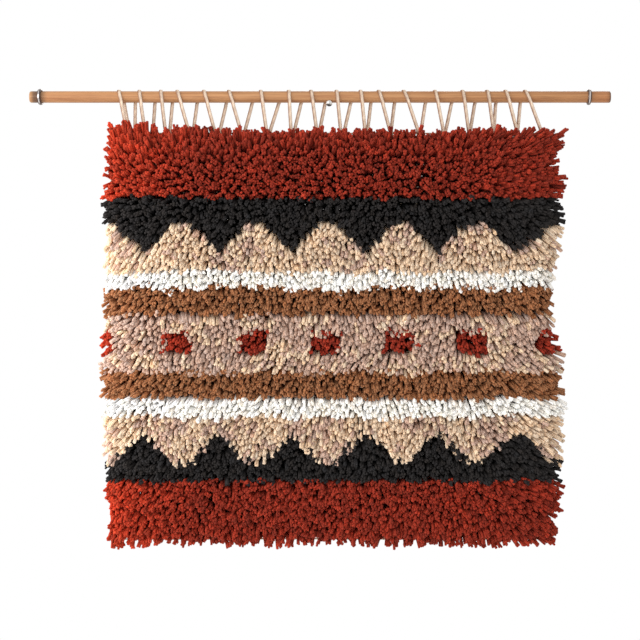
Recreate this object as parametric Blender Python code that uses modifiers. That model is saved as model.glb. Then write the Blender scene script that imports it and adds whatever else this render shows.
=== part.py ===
"""Latch hook wall hanging, laced to a round wooden dowel that hangs on one pin.

A sheet of open rug canvas carries a deep knotted wool pile. One cord winds over
the dowel and through the canvas's second row of openings, turn after turn. A
small metal ring sits round the dowel near each end. The dowel rests on a
round-headed pin in the wall.

Frame: metres, +Z up, +X to the right, and the pile faces -Y. The origin is on
the pin's axis, at the face of the wall. Sizes below are in millimetres and are
measured from the dowel's axis, straight above the origin: x to the right, z up,
y towards the wall.
"""

import math

import bmesh
import bpy
from mathutils import Vector, noise

MM = 0.001

# ---- dowel, rings and pin ------------------------------------------------
DOWEL_RADIUS = 7.5
DOWEL_LEFT = -390.5
DOWEL_RIGHT = 366.5
DOWEL_ROUNDING = 2.6  # of the left end's rim
DOWEL_CHAMFER = 1.2  # of the right end's rim
DOWEL_SIDES = 24

RING_RADIUS = 9.2  # of the section's middle
RING_THICK = 1.2  # half of the section, outwards from the dowel
RING_WIDE = 2.2  # half of the section, along the dowel
RINGS = (
    # name, x, lean of the top along the dowel, turn about the vertical, in degrees
    ("ring_left", -376.4, -2.0, -8.0),
    ("ring_right", 338.5, 2.4, 1.5),
)

PIN_SHANK_RADIUS = 1.0
PIN_HEAD_RADIUS = 4.2
PIN_DROP = 8.9  # from the dowel's axis down to the pin's
PIN_HEAD_BACK = -6.3  # just before the dowel's lower edge
PIN_HEAD_HIGH = 2.4
PIN_IN_WALL = 12.0
PIN_POINT = 4.0

WALL = 12.5  # the face of the wall, behind the dowel's axis

# ---- canvas --------------------------------------------------------------
MESH_PITCH = 7.25  # 3.5 openings to the inch
THREAD = 2.05  # width of a bar between two openings
CANVAS_THICK = 2.0
CANVAS_LEFT = -284.0
CANVAS_TOP = -47.5
MESH_COLUMNS = 78
MESH_ROWS = 73
LACED_ROW = 1  # the second row of openings, counted from 0
CANVAS_LEAN = 6.0  # how far the bottom swings back to the wall
RIPPLE_HIGH = 2.4  # a soft wave across the width, fading to nothing at the top
RIPPLE_LONG = 430.0
HANG_START = -72.0  # above this the canvas hangs plumb under the dowel

# ---- lacing cord ---------------------------------------------------------
CORD_RADIUS = 2.0
CORD_OFF_DOWEL = 0.5
CORD_BEND = 3.6  # radius of its turn through the canvas
PILE_EDGE = -42.0  # where the strands go in behind the pile
TURNS = (
    # x over the dowel, x in front at the pile's edge, x behind there, x under the dowel behind
    (-274.0, -263.6, -253.5, -253.5),
    (-247.3, -240.2, -229.8, -227.8),
    (-219.3, -213.5, -207.9, -204.9),
    (-198.0, -183.6, -177.1, -172.6),
    (-163.4, -149.8, -142.2, -134.3),
    (-130.8, -115.8, -109.5, -100.5),
    (-89.1, -82.0, -76.6, -65.7),
    (-52.7, -49.8, -45.1, -36.7),
    (-23.7, -16.6, -12.2, -5.2),
    (9.6, 14.7, 20.2, 28.1),
    (41.0, 46.4, 50.4, 54.5),
    (64.4, 78.3, 81.1, 85.4),
    (96.9, 114.8, 120.3, 125.7),
    (137.7, 148.1, 152.6, 160.0),
    (173.6, 181.0, 184.5, 190.5),
    (205.8, 213.3, 215.3, 217.8),
    (229.5, 243.5, 246.4, 249.9),
    (254.9, 274.8, 281.0, 281.0),
)
CORD_START = (-264.5, -261.5, -268.0)  # x at the cord's end behind the canvas, at the pile's edge, and under the dowel

# ---- pile ----------------------------------------------------------------
PILE_GAP = 0.5
SIDES = (
    # depth below the dowel's axis, left edge, right edge
    (43.0, -287.0, 306.0),
    (62.0, -291.0, 312.0),
    (96.0, -293.0, 302.0),
    (108.0, -292.0, 313.0),
    (127.0, -297.0, 305.0),
    (157.0, -294.0, 307.0),
    (186.0, -292.0, 301.0),
    (214.0, -295.0, 297.0),
    (266.0, -296.0, 291.0),
    (309.0, -297.0, 296.0),
    (333.0, -299.0, 309.0),
    (363.0, -298.0, 303.0),
    (384.0, -298.0, 310.0),
    (422.0, -293.0, 306.0),
    (467.0, -292.0, 306.0),
    (513.0, -291.0, 307.0),
    (543.0, -288.0, 299.0),
    (588.0, -281.0, 300.0),
)
ENDS = (
    # x, top edge, bottom edge, as depths below the dowel's axis
    (-292.0, 49.0, 584.0),
    (-276.0, 34.0, 588.0),
    (-238.0, 33.0, 588.0),
    (-222.0, 43.0, 585.0),
    (-178.0, 38.0, 584.0),
    (-140.0, 42.0, 586.0),
    (-80.0, 45.0, 588.0),
    (-10.0, 44.0, 583.0),
    (60.0, 43.0, 589.0),
    (130.0, 44.0, 587.0),
    (200.0, 41.0, 588.0),
    (262.0, 42.0, 585.0),
    (312.0, 45.0, 581.0),
)
DEPTHS = (
    # share of the height from the top, depth of the pile there
    (0.00, 21.0),
    (0.12, 24.0),
    (0.22, 27.0),
    (0.40, 30.0),
    (0.50, 31.0),
    (0.62, 30.0),
    (0.80, 27.0),
    (0.90, 24.0),
    (1.00, 22.0),
)
EDGE_STEPS = (0.0, 3.5, 9.0, 17.0, 27.0)  # rows of the surface near each edge
EDGE_ROUND = 27.0  # how far in from the edge the front's rounding reaches
EDGE_START = 0.42  # depth, as a share, at which the tufts reach furthest out
BACK_INSET = 9.0  # the tufts lean out this far past the knots
MIDDLE_COLUMNS = 20
MIDDLE_ROWS = 18
TUFT_RELIEF = 3.2


def between(rows, at, column):
    """The column's value at this place, blended smoothly from row to row."""
    if at <= rows[0][0]:
        return rows[0][column]
    for low, high in zip(rows, rows[1:]):
        if at <= high[0]:
            share = (at - low[0]) / (high[0] - low[0])
            share = share * share * (3 - 2 * share)
            return low[column] + (high[column] - low[column]) * share
    return rows[-1][column]


def canvas_y(x, z):
    """The middle of the canvas: plumb at its top, then leaning back to the wall."""
    bottom = CANVAS_TOP - MESH_ROWS * MESH_PITCH
    share = max(0.0, (HANG_START - z) / (HANG_START - bottom))
    wave = math.cos(2 * math.pi * (x + 60.0) / RIPPLE_LONG)
    return share * (CANVAS_LEAN + RIPPLE_HIGH * wave * share)


def opening(x):
    """The middle of the canvas opening that lies nearest to x."""
    column = round((x - CANVAS_LEFT) / MESH_PITCH - 0.5)
    return CANVAS_LEFT + (column + 0.5) * MESH_PITCH


def lacing_openings():
    return [opening((front + back) / 2) for _, front, back, _ in TURNS]


LACED_Z = CANVAS_TOP - (LACED_ROW + 0.5) * MESH_PITCH  # the middle of those openings
BEND_Z = LACED_Z + CORD_BEND - 0.2  # where the cord's turn through the canvas starts


def material(name, colour, roughness, metallic=0.0):
    made = bpy.data.materials.new(name)
    made.use_nodes = True
    shader = made.node_tree.nodes["Principled BSDF"]
    shader.inputs["Base Color"].default_value = (*colour, 1.0)
    shader.inputs["Roughness"].default_value = roughness
    shader.inputs["Metallic"].default_value = metallic
    return made


def add(name, data, parent, look):
    made = bpy.data.objects.new(name, data)
    collection.objects.link(made)
    made.parent = parent
    data.materials.append(look)
    return made


def new_mesh(name, bm):
    mesh = bpy.data.meshes.new(name)
    bm.to_mesh(mesh)
    bm.free()
    return mesh


def turned(name, profile, steps, parent, look):
    """A solid of revolution about local Z, from (radius, height) rows that run from the top of the axis down the outside to its foot."""
    bm = bmesh.new()
    points = [bm.verts.new((r * MM, 0.0, h * MM)) for r, h in profile]
    for a, b in zip(points, points[1:]):
        bm.edges.new((a, b))
    made = add(name, new_mesh(name, bm), parent, look)
    screw = made.modifiers.new("turn", "SCREW")
    screw.axis = "Z"
    screw.steps = screw.render_steps = steps
    screw.use_merge_vertices = True
    screw.merge_threshold = 0.00002
    screw.use_smooth_shade = True
    return made


# ---- start ----------------------------------------------------------------
for old in list(bpy.data.objects):
    bpy.data.objects.remove(old, do_unlink=True)

collection = bpy.data.collections.new("latch_hook_wall_hanging")
bpy.context.scene.collection.children.link(collection)

axis = bpy.data.objects.new("dowel_axis", None)
axis.location = (0.0, -WALL * MM, PIN_DROP * MM)
collection.objects.link(axis)

wool = material("wool_pile", (0.36, 0.13, 0.07), 0.95)
cotton = material("cotton_canvas", (0.72, 0.64, 0.52), 0.9)
string = material("lacing_cord", (0.80, 0.66, 0.50), 0.85)
wood = material("dowel_wood", (0.62, 0.32, 0.16), 0.5)
steel = material("ring_steel", (0.34, 0.31, 0.30), 0.3, 1.0)
nickel = material("pin_nickel", (0.85, 0.84, 0.82), 0.2, 1.0)


# ---- dowel ----------------------------------------------------------------
def dowel():
    """A straight round rod along X: its left rim is rounded over, its right rim chamfered, and both ends keep a flat face."""
    long = DOWEL_RIGHT - DOWEL_LEFT
    profile = [(0.0, long), (DOWEL_RADIUS - DOWEL_CHAMFER, long), (DOWEL_RADIUS, long - DOWEL_CHAMFER)]
    runs = 6
    profile += [(DOWEL_RADIUS, long - DOWEL_CHAMFER - (long - DOWEL_CHAMFER - DOWEL_ROUNDING) * k / runs) for k in range(1, runs)]
    for k in range(4):
        angle = math.pi / 2 * k / 3
        profile.append(
            (
                DOWEL_RADIUS - DOWEL_ROUNDING * (1 - math.cos(angle)),
                DOWEL_ROUNDING * (1 - math.sin(angle)),
            )
        )
    profile.append((0.0, 0.0))
    made = turned("dowel", profile, DOWEL_SIDES, axis, wood)
    made.location = (DOWEL_LEFT * MM, 0.0, 0.0)
    made.rotation_euler = (0.0, math.pi / 2, 0.0)
    return made


# ---- rings ----------------------------------------------------------------
def ring(name, x, lean, turn):
    """A closed ring of oval section round the dowel, wider along it, and a little askew as it sits."""
    bpy.ops.mesh.primitive_torus_add(
        major_radius=RING_RADIUS * MM,
        minor_radius=RING_THICK * MM,
        major_segments=24,
        minor_segments=10,
    )
    made = bpy.context.object
    for vertex in made.data.vertices:
        vertex.co.z *= RING_WIDE / RING_THICK
    for holder in list(made.users_collection):
        holder.objects.unlink(made)
    collection.objects.link(made)
    made.name = made.data.name = name
    made.parent = axis
    made.location = (x * MM, 0.0, 0.0)
    made.rotation_euler = (0.0, math.pi / 2 + math.radians(lean), math.radians(turn))
    made.data.materials.append(steel)
    made.data.shade_smooth()
    return made


# ---- pin ------------------------------------------------------------------
def pin():
    """A round-headed pin under the dowel. Its domed head stands before the dowel's lower edge, and its point is in the wall."""
    front = -PIN_HEAD_BACK  # height along the pin, from the dowel's axis forward
    profile = []
    for k in range(5):
        angle = math.pi / 2 * k / 4
        profile.append((PIN_HEAD_RADIUS * math.sin(angle), front + 0.5 + (PIN_HEAD_HIGH - 0.5) * math.cos(angle)))
    foot = -(WALL + PIN_IN_WALL)
    profile += [
        (PIN_HEAD_RADIUS - 0.3, front),
        (PIN_SHANK_RADIUS, front),
        (PIN_SHANK_RADIUS, foot + PIN_POINT),
        (0.0, foot),
    ]
    made = turned("wall_pin", profile, 16, axis, nickel)
    made.location = (0.0, 0.0, -PIN_DROP * MM)
    made.rotation_euler = (math.pi / 2, 0.0, 0.0)
    return made


# ---- canvas ---------------------------------------------------------------
def canvas():
    """A thin sheet, gridded so that each laced opening is one cell, with those cells left open."""
    half = (MESH_PITCH - THREAD) / 2
    left, right = CANVAS_LEFT, CANVAS_LEFT + MESH_COLUMNS * MESH_PITCH
    top, bottom = CANVAS_TOP, CANVAS_TOP - MESH_ROWS * MESH_PITCH
    laced = lacing_openings()
    columns = [left] + [x + side * half for x in laced for side in (-1, 1)] + [right]
    row_edges = [top, LACED_Z + half, LACED_Z - half]
    lower = 9
    row_edges += [row_edges[-1] + (bottom - row_edges[-1]) * k / lower for k in range(1, lower + 1)]
    bm = bmesh.new()
    bmesh.ops.create_grid(bm, x_segments=len(columns) - 1, y_segments=len(row_edges) - 1, size=0.5)
    for face in list(bm.faces):
        middle = face.calc_center_median()
        column = int((middle.x + 0.5) * (len(columns) - 1))
        row = int((0.5 - middle.y) * (len(row_edges) - 1))
        if row == 1 and column % 2 == 1:
            bm.faces.remove(face)
    for vert in bm.verts:
        x = columns[round((vert.co.x + 0.5) * (len(columns) - 1))]
        z = row_edges[round((0.5 - vert.co.y) * (len(row_edges) - 1))]
        vert.co = Vector((x, canvas_y(x, z), z)) * MM
    bmesh.ops.recalc_face_normals(bm, faces=bm.faces)
    made = add("canvas", new_mesh("canvas", bm), axis, cotton)
    solid = made.modifiers.new("thickness", "SOLIDIFY")
    solid.thickness = CANVAS_THICK * MM
    solid.offset = 0.0
    solid.use_even_offset = False
    return made


# ---- lacing ---------------------------------------------------------------
def leaving_angle(bend_y, bend_z, wrap):
    """The angle round the dowel, from straight down, at which a strand from the canvas meets it."""
    return math.acos(wrap / math.hypot(bend_y, bend_z)) + math.atan2(bend_y, -bend_z)


def lacing_route():
    """The cord's middle line: behind the canvas, up behind the dowel, over it, down in front, and through the next opening."""
    wrap = DOWEL_RADIUS + CORD_OFF_DOWEL + CORD_RADIUS
    low = leaving_angle(CORD_BEND, BEND_Z, wrap)  # the same in front and behind
    tangent_z = -wrap * math.cos(low)
    around = 8
    points = []

    def strand_y(z):
        share = (z - BEND_Z) / (tangent_z - BEND_Z)
        return CORD_BEND + (wrap * math.sin(low) - CORD_BEND) * share

    def over_dowel(x_under, x_over, x_front):
        points.append((x_under, strand_y(-DOWEL_RADIUS), -DOWEL_RADIUS))
        for k in range(around):
            angle = low + (2 * math.pi - 2 * low) * k / (around - 1)  # from straight down, round the back and over
            y, z = wrap * math.sin(angle), -wrap * math.cos(angle)
            if angle <= math.pi:  # behind
                x = x_under + (x_over - x_under) * (z + DOWEL_RADIUS) / (wrap + DOWEL_RADIUS)
            else:
                x = x_over + (x_front - x_over) * (wrap - z) / (wrap - PILE_EDGE)
            points.append((x, y, z))

    end, edge, under = CORD_START
    points.append((end, CORD_BEND, BEND_Z - 3.0))
    points.append((edge, strand_y(PILE_EDGE), PILE_EDGE))
    laced = lacing_openings()
    for (over, front, back, next_under), hole in zip(TURNS, laced):
        over_dowel(under, over, front)
        points.append((front, -strand_y(PILE_EDGE), PILE_EDGE))
        for angle in (0.0, 50.0, 90.0, 130.0, 180.0):
            turn = math.radians(angle)
            points.append((hole, -CORD_BEND * math.cos(turn), BEND_Z - CORD_BEND * math.sin(turn)))
        if hole != laced[-1]:
            points.append((back, strand_y(PILE_EDGE), PILE_EDGE))
        under = next_under
    points.append((laced[-1], CORD_BEND, BEND_Z + 5.0))
    return points


def lacing():
    curve = bpy.data.curves.new("lacing", "CURVE")
    curve.dimensions = "3D"
    curve.bevel_depth = CORD_RADIUS * MM
    curve.bevel_resolution = 2
    curve.use_fill_caps = True
    curve.twist_mode = "MINIMUM"
    route = lacing_route()
    spline = curve.splines.new("POLY")
    spline.points.add(len(route) - 1)
    for point, at in zip(spline.points, route):
        point.co = (at[0] * MM, at[1] * MM, at[2] * MM, 1.0)
    spline.use_smooth = True
    return add("lacing", curve, axis, string)


# ---- pile -----------------------------------------------------------------
def stations(length, middle):
    """Distances from one edge to the other, close together near both."""
    inner = length - 2 * EDGE_STEPS[-1]
    places = list(EDGE_STEPS)
    places += [EDGE_STEPS[-1] + inner * k / middle for k in range(1, middle)]
    return [p / length for p in places] + [1 - e / length for e in reversed(EDGE_STEPS)]


def pile_outline(across, down):
    """A place in the outline, from its shares across and down."""
    width, height = 600.0, 545.0
    depth = 42.0 + height * down
    left, right = between(SIDES, depth, 1), between(SIDES, depth, 2)
    x = left + (right - left) * across
    top, bottom = between(ENDS, x, 1), between(ENDS, x, 2)
    z = -(top + (bottom - top) * down)
    beside, beyond = (max(0.0, 1 - min(share, 1 - share) * size / EDGE_ROUND) for share, size in ((across, width), (down, height)))
    return x, z, beside, beyond  # the last two run from 1 at an edge to 0 where its rounding ends


def back_gap(z):
    """How far before the canvas's middle the pile's back lies: close to it, but with room at the top for the lacing to run between them."""
    wrap = DOWEL_RADIUS + CORD_OFF_DOWEL + CORD_RADIUS
    slope = (wrap - CORD_BEND) / -BEND_Z
    strand = CORD_BEND + CORD_RADIUS + 0.6
    if z > BEND_Z:
        return strand + slope * (z - BEND_Z)
    floor = CANVAS_THICK / 2 + PILE_GAP
    foot = BEND_Z - CORD_BEND - CORD_RADIUS
    if z > foot:
        return strand
    return max(floor, strand - (foot - z) * 0.75)


def pile():
    """One closed slab: a grid made solid, its front crowned and rounded into the sides, its back on the canvas."""
    columns = stations(600.0, MIDDLE_COLUMNS)
    rows = stations(545.0, MIDDLE_ROWS)
    bm = bmesh.new()
    bmesh.ops.create_grid(bm, x_segments=len(columns) - 1, y_segments=len(rows) - 1, size=0.5)
    for vert in bm.verts:
        vert.co.z = 0.0
    bmesh.ops.recalc_face_normals(bm, faces=bm.faces)
    upper = bmesh.ops.extrude_face_region(bm, geom=bm.faces[:] + bm.edges[:] + bm.verts[:], use_keep_orig=True)
    for item in upper["geom"]:
        if isinstance(item, bmesh.types.BMVert):
            item.co.z = 1.0
    for vert in bm.verts:
        across = columns[round((vert.co.x + 0.5) * (len(columns) - 1))]
        down = rows[round((0.5 - vert.co.y) * (len(rows) - 1))]
        x, z, beside, beyond = pile_outline(across, down)
        if vert.co.z > 0.5:  # front
            crown = EDGE_START + (1 - EDGE_START) * math.sqrt((1 - beside**2) * (1 - beyond**2))
            tufts = noise.noise(Vector((x / 34.0, z / 30.0, 3.7))) + 0.6 * noise.noise(Vector((x / 17.0, z / 15.0, 9.1)))
            depth = (between(DEPTHS, down, 1) + TUFT_RELIEF * tufts) * crown
            y = canvas_y(x, z) - max(CANVAS_THICK / 2 + depth, back_gap(z) + 3.0)
        else:  # back: drawn in to where the knots are
            x += BACK_INSET * beside * (1 if across < 0.5 else -1)
            z += BACK_INSET * beyond * (-1 if down < 0.5 else 1)
            y = canvas_y(x, z) - back_gap(z)
        vert.co = Vector((x, y, z)) * MM
    bmesh.ops.recalc_face_normals(bm, faces=bm.faces)
    made = add("pile", new_mesh("pile", bm), axis, wool)
    made.data.shade_smooth()
    return made


dowel()
for row in RINGS:
    ring(*row)
pin()
canvas()
lacing()
pile()
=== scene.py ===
"""Looks of the latch hook wall hanging: knotted wool strands on open canvas, plied
lacing cord, a grained wooden dowel, steel rings and a round-headed pin.

Sizes are millimetres from the dowel's axis (x right, y to the wall, z up) until
place() turns them into metres in the frame of the model.
"""

import math

import bpy
import numpy as np
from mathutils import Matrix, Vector, noise


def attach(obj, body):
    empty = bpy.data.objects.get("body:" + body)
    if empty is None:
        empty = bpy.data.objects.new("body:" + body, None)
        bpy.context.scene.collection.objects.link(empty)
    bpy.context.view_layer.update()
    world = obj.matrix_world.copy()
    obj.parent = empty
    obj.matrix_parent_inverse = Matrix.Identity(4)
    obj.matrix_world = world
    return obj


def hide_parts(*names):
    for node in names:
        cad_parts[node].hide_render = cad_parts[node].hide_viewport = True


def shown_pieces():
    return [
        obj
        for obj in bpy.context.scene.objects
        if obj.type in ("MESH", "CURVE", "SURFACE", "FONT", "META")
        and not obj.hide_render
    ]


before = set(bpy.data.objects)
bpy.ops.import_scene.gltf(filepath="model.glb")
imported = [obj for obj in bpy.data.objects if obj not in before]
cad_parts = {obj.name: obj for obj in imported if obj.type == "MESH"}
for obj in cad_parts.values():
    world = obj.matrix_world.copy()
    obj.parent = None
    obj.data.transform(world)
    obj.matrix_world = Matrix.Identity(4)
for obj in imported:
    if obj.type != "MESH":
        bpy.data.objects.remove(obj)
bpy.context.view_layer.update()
rng = np.random.default_rng(41)

# ---- sizes, as in the solids ------------------------------------------------
WALL = 12.5
PIN_DROP = 8.9
DOWEL_RADIUS = 7.5
DOWEL_LEFT, DOWEL_RIGHT = -390.5, 366.5
MESH_PITCH = 7.25
THREAD = 2.05
CANVAS_LEFT, CANVAS_TOP = -284.0, -47.5
MESH_COLUMNS, MESH_ROWS = 78, 73
LACED_ROW = 1
CANVAS_LEAN, RIPPLE_HIGH, RIPPLE_LONG, HANG_START = 6.0, 2.4, 430.0, -72.0
CORD_RADIUS, CORD_OFF_DOWEL, CORD_BEND, PILE_EDGE = 2.0, 0.15, 3.6, -42.0
TURNS = (
    # x over the dowel, x in front at the pile's edge, x behind there, x under the dowel behind
    (-274.0, -263.6, -253.5, -253.5),
    (-247.3, -240.2, -229.8, -227.8),
    (-219.3, -213.5, -207.9, -204.9),
    (-198.0, -183.6, -177.1, -172.6),
    (-163.4, -149.8, -142.2, -134.3),
    (-130.8, -115.8, -109.5, -100.5),
    (-89.1, -82.0, -76.6, -65.7),
    (-52.7, -49.8, -45.1, -36.7),
    (-23.7, -16.6, -12.2, -5.2),
    (9.6, 14.7, 20.2, 28.1),
    (41.0, 46.4, 50.4, 54.5),
    (64.4, 78.3, 81.1, 85.4),
    (96.9, 114.8, 120.3, 125.7),
    (137.7, 148.1, 152.6, 160.0),
    (173.6, 181.0, 184.5, 190.5),
    (205.8, 213.3, 215.3, 217.8),
    (229.5, 243.5, 246.4, 249.9),
    (254.9, 274.8, 281.0, 281.0),
)
CORD_START = (-264.5, -261.5, -268.0)
SIDES = (
    # depth below the dowel's axis, left edge, right edge
    (43.0, -287.0, 306.0),
    (62.0, -291.0, 312.0),
    (96.0, -293.0, 302.0),
    (108.0, -292.0, 313.0),
    (127.0, -297.0, 305.0),
    (157.0, -294.0, 307.0),
    (186.0, -292.0, 301.0),
    (214.0, -295.0, 297.0),
    (266.0, -296.0, 291.0),
    (309.0, -297.0, 296.0),
    (333.0, -299.0, 309.0),
    (363.0, -298.0, 303.0),
    (384.0, -298.0, 310.0),
    (422.0, -293.0, 306.0),
    (467.0, -292.0, 306.0),
    (513.0, -291.0, 307.0),
    (543.0, -288.0, 299.0),
    (588.0, -281.0, 300.0),
)
ENDS = (
    # x, top edge, bottom edge, as depths below the dowel's axis
    (-292.0, 49.0, 584.0),
    (-276.0, 34.0, 588.0),
    (-238.0, 33.0, 588.0),
    (-222.0, 43.0, 585.0),
    (-178.0, 38.0, 584.0),
    (-140.0, 42.0, 586.0),
    (-80.0, 45.0, 588.0),
    (-10.0, 44.0, 583.0),
    (60.0, 43.0, 589.0),
    (130.0, 44.0, 587.0),
    (200.0, 41.0, 588.0),
    (262.0, 42.0, 585.0),
    (312.0, 45.0, 581.0),
)
DEPTHS = (
    # share of the height from the top, depth of the pile there
    (0.00, 21.0),
    (0.12, 24.0),
    (0.22, 27.0),
    (0.40, 30.0),
    (0.50, 31.0),
    (0.62, 30.0),
    (0.80, 27.0),
    (0.90, 24.0),
    (1.00, 22.0),
)
EDGE_START = 0.42

# ---- wool ------------------------------------------------------------------
WOOLS = {
    # name: colour, droop of the tips, strand radius, tip radius as a share, share of the depth added, sheen, light let through
    "rust": ((0.245, 0.0215, 0.0085), 7.5, 2.40, 1.24, 0.0, 0.40, 0.5),
    "black": ((0.0185, 0.0165, 0.0165), 8.0, 2.40, 1.18, 0.0, 0.14, 0.0),
    "brown": ((0.285, 0.119, 0.051), 9.5, 2.40, 1.08, 0.03, 0.40, 0.5),
    "tan": ((0.67, 0.495, 0.350), 14.0, 2.45, 1.00, 0.07, 0.5, 0.9),
    "cream": ((1.0, 0.945, 0.870), 13.5, 2.50, 1.02, 0.09, 0.5, 1.0),
    "taupe": ((0.475, 0.325, 0.258), 14.0, 2.45, 1.00, 0.05, 0.45, 0.85),
}
STRIPES = (
    # wool, rows of knots, from the top down
    ("rust", 11),
    ("black", 4),
    ("tan", 8),
    ("cream", 3),
    ("brown", 5),
    ("taupe", 10),
    ("brown", 5),
    ("cream", 3),
    ("tan", 8),
    ("black", 4),
    ("rust", 11),
)
STEPS_PERIOD = 13  # columns of knots from one stepped triangle to the next
KNOT_ROWS = 72


# ---- shared geometry ---------------------------------------------------------
def place(points):
    """Millimetres from the dowel's axis to metres in the model's frame."""
    return (np.asarray(points, float) + (0.0, -WALL, PIN_DROP)) * 0.001


def column(rows, at, index):
    """A table's column at each value, blended smoothly from row to row."""
    at = np.asarray(at, float)
    places = np.array([r[0] for r in rows])
    values = np.array([r[index] for r in rows])
    low = np.clip(np.searchsorted(places, at) - 1, 0, len(rows) - 2)
    share = np.clip((at - places[low]) / (places[low + 1] - places[low]), 0, 1)
    share = share * share * (3 - 2 * share)
    return values[low] + (values[low + 1] - values[low]) * share


def canvas_y(x, z):
    bottom = CANVAS_TOP - MESH_ROWS * MESH_PITCH
    share = np.maximum(0.0, (HANG_START - z) / (HANG_START - bottom))
    wave = np.cos(2 * math.pi * (x + 60.0) / RIPPLE_LONG)
    return share * (CANVAS_LEAN + RIPPLE_HIGH * wave * share)


def opening_column(x):
    return round((x - CANVAS_LEFT) / MESH_PITCH - 0.5)


LACED_COLUMNS = [opening_column((front + back) / 2) for _, front, back, _ in TURNS]
LACED_X = [CANVAS_LEFT + (c + 0.5) * MESH_PITCH for c in LACED_COLUMNS]
LACED_Z = CANVAS_TOP - (LACED_ROW + 0.5) * MESH_PITCH
BEND_Z = LACED_Z + CORD_BEND - 0.2


def field(x, z, scale, seed):
    """Smooth noise at each place, as three numbers."""
    out = np.empty((len(x), 3))
    for n, (a, b) in enumerate(zip(x / scale, z / scale)):
        out[n] = noise.noise_vector(Vector((a, b, seed)))
    return out


def mesh_object(name, vertices, faces, body="root", smooth=True):
    """A mesh from one array of points and a list of face arrays, each with rows of one length."""
    mesh = bpy.data.meshes.new(name)
    faces = [np.asarray(f, np.int32) for f in faces if len(f)]
    loops = np.concatenate([f.ravel() for f in faces])
    sizes = np.concatenate([np.full(len(f), f.shape[1], np.int32) for f in faces])
    mesh.vertices.add(len(vertices))
    mesh.vertices.foreach_set("co", np.asarray(vertices, np.float32).ravel())
    mesh.loops.add(len(loops))
    mesh.loops.foreach_set("vertex_index", loops)
    mesh.polygons.add(len(sizes))
    mesh.polygons.foreach_set("loop_start", np.concatenate([[0], np.cumsum(sizes)[:-1]]).astype(np.int32))
    mesh.polygons.foreach_set("loop_total", sizes)
    mesh.update(calc_edges=True)
    mesh.validate()
    if smooth:
        mesh.shade_smooth()
    made = bpy.data.objects.new(name, mesh)
    bpy.context.scene.collection.objects.link(made)
    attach(made, body)
    return made


def point_colours(obj, name, colours):
    made = obj.data.color_attributes.new(name, "FLOAT_COLOR", "POINT")
    made.data.foreach_set("color", np.asarray(colours, np.float32).ravel())


def tubes(lines, radii, sides, lobes=None, turns=0.0, start=None, cap=True):
    """Closed tubes along many lines at once. lines is (tubes, rings, 3), radii (tubes, rings), and lobes scales the radius at each side."""
    count, rings, _ = lines.shape
    ahead = np.gradient(lines, axis=1)
    ahead /= np.linalg.norm(ahead, axis=2, keepdims=True)
    side = np.cross(ahead, np.array([0.31, 0.12, 0.94]))
    side /= np.maximum(np.linalg.norm(side, axis=2, keepdims=True), 1e-9)
    up = np.cross(ahead, side)
    lobes = np.ones(sides) if lobes is None else np.asarray(lobes, float)
    start = np.zeros(count) if start is None else start
    along = np.linspace(0, 1, rings)
    angle = start[:, None, None] + 2 * math.pi * (np.arange(sides) / sides)[None, None, :]
    angle = angle + (2 * math.pi * np.asarray(turns) * np.ones(count))[:, None, None] * along[None, :, None]
    reach = radii[:, :, None] * lobes[None, None, :]
    rim = (
        lines[:, :, None, :]
        + (reach * np.cos(angle))[..., None] * side[:, :, None, :]
        + (reach * np.sin(angle))[..., None] * up[:, :, None, :]
    )
    tip = lines[:, -1] + ahead[:, -1] * radii[:, -1:] * 0.45
    points = np.concatenate([rim.reshape(count, rings * sides, 3), tip[:, None]], axis=1)
    per = rings * sides + 1
    k = np.arange(sides)
    r = np.arange(rings - 1)[:, None]
    quad = np.stack(
        [r * sides + k, r * sides + (k + 1) % sides, (r + 1) * sides + (k + 1) % sides, (r + 1) * sides + k], axis=-1
    ).reshape(-1, 4)
    last = (rings - 1) * sides
    fan = np.stack([last + k, last + (k + 1) % sides, np.full(sides, rings * sides)], axis=-1)
    base = k[::-1][None, :]
    offsets = (np.arange(count) * per)[:, None, None]
    faces = [(quad[None] + offsets).reshape(-1, 4), (fan[None] + offsets).reshape(-1, 3)]
    if cap:
        faces.append((base[None] + offsets).reshape(-1, sides))
    return points.reshape(-1, 3), faces, per


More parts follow.
